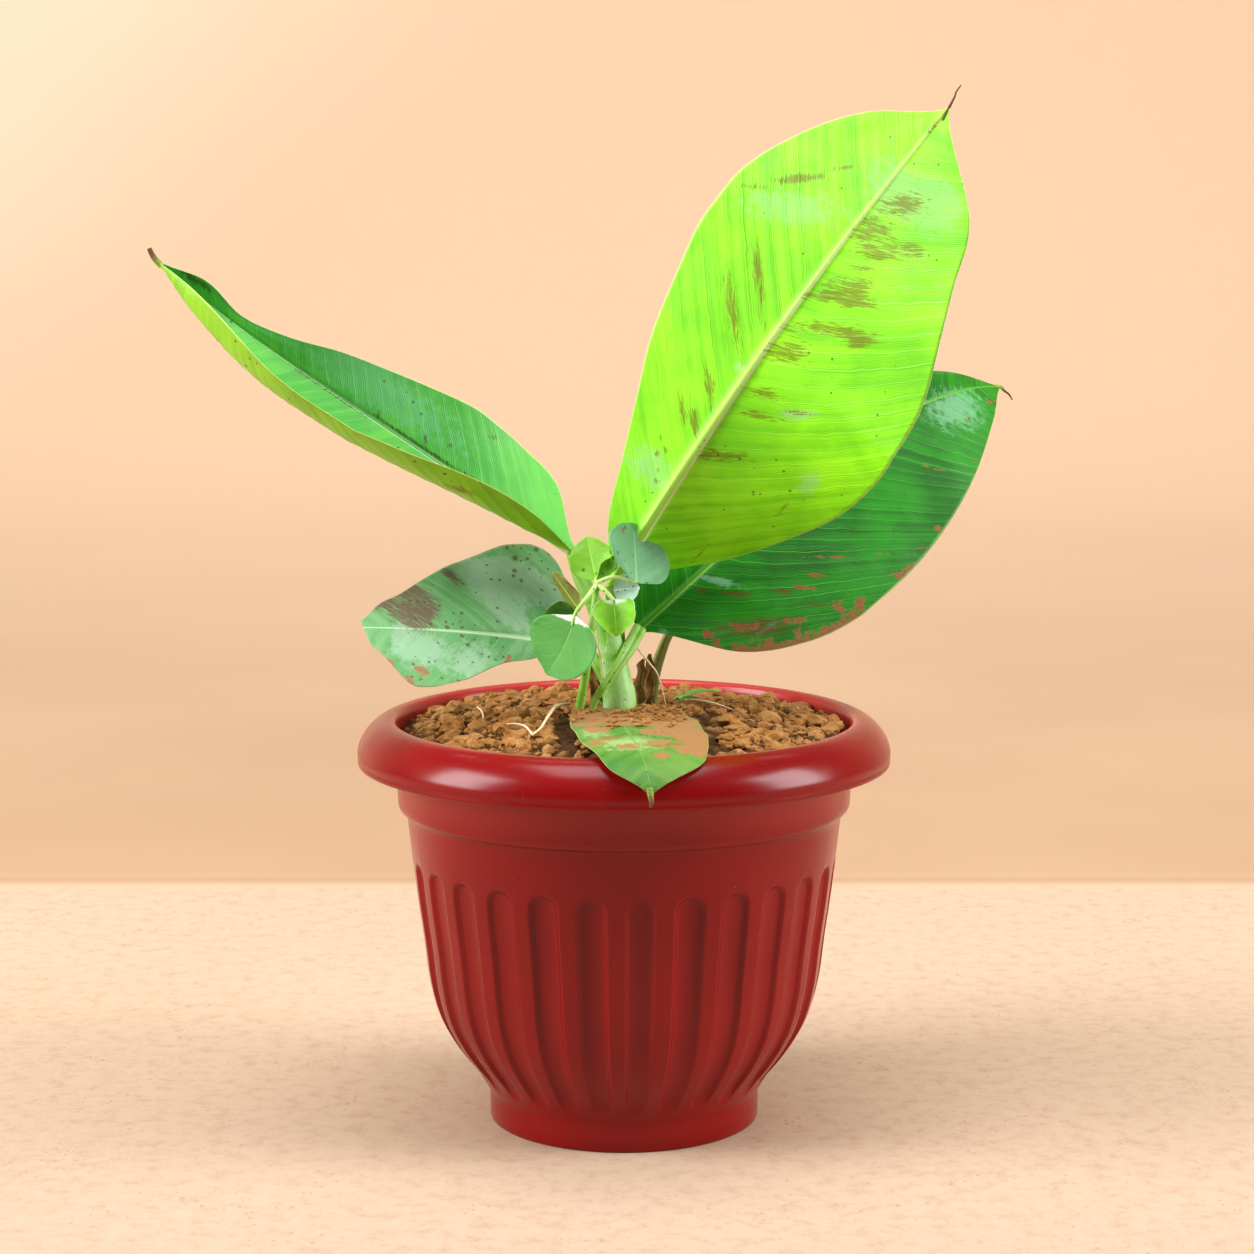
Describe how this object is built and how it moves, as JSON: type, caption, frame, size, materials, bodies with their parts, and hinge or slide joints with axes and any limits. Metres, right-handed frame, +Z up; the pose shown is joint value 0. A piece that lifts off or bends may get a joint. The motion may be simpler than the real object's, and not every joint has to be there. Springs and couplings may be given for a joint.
{
  "type": "potted banana plant",
  "caption": "Young banana plant with broad leaves and a small side shoot, in a fluted round pot of soil that stands on its flat underside.",
  "frame": {"origin": "centre of the pot's flat underside, on the surface that it stands on", "axes": "+Z up along the pot's axis, -Y towards the side that shows the tall leaf's back, +X towards the dark right-hand leaf"},
  "size_m": [0.4116, 0.2657, 0.4793],
  "materials": {
    "pot": "dark red glossy moulded plastic",
    "soil": "dry crumbly brown garden soil",
    "stem": "smooth pale green stalk with a whitish bloom",
    "leaf_bright": "bright yellow-green satin leaf",
    "leaf_dark": "dark green glossy leaf",
    "leaf_blue": "blue-green satin leaf",
    "leaf_dull": "dull grey-green leaf with dust and brown patches",
    "dry": "dry papery brown leaf remains"
  },
  "bodies": {
    "root": {"pot": "pot", "soil": "soil", "pseudostem": "stem", "stalk_left": "stem", "stalk_tall": "stem", "stalk_right": "stem", "stalk_low": "stem", "stalk_old": "stem", "shoot_stem": "stem", "shoot_stalk_front": "stem", "shoot_stalk_cupped": "stem", "shoot_stalk_upper": "stem", "leaf_tall": "leaf_bright", "leaf_right": "leaf_dark", "leaf_left": "leaf_blue", "leaf_low": "leaf_dull", "leaf_fallen": "leaf_dull", "dry_sheath_left": "dry", "dry_sheath_right": "dry", "shoot_leaf_front": "leaf_blue", "shoot_leaf_cupped": "leaf_blue", "shoot_leaf_upper": "leaf_dull", "shoot_leaf_inner": "leaf_dull", "shoot_leaf_bud": "leaf_bright", "shoot_leaf_back": "leaf_bright", "shoot_leaf_shaded": "leaf_dark", "shoot_leaf_olive": "dry"}
  },
  "joints": []
}
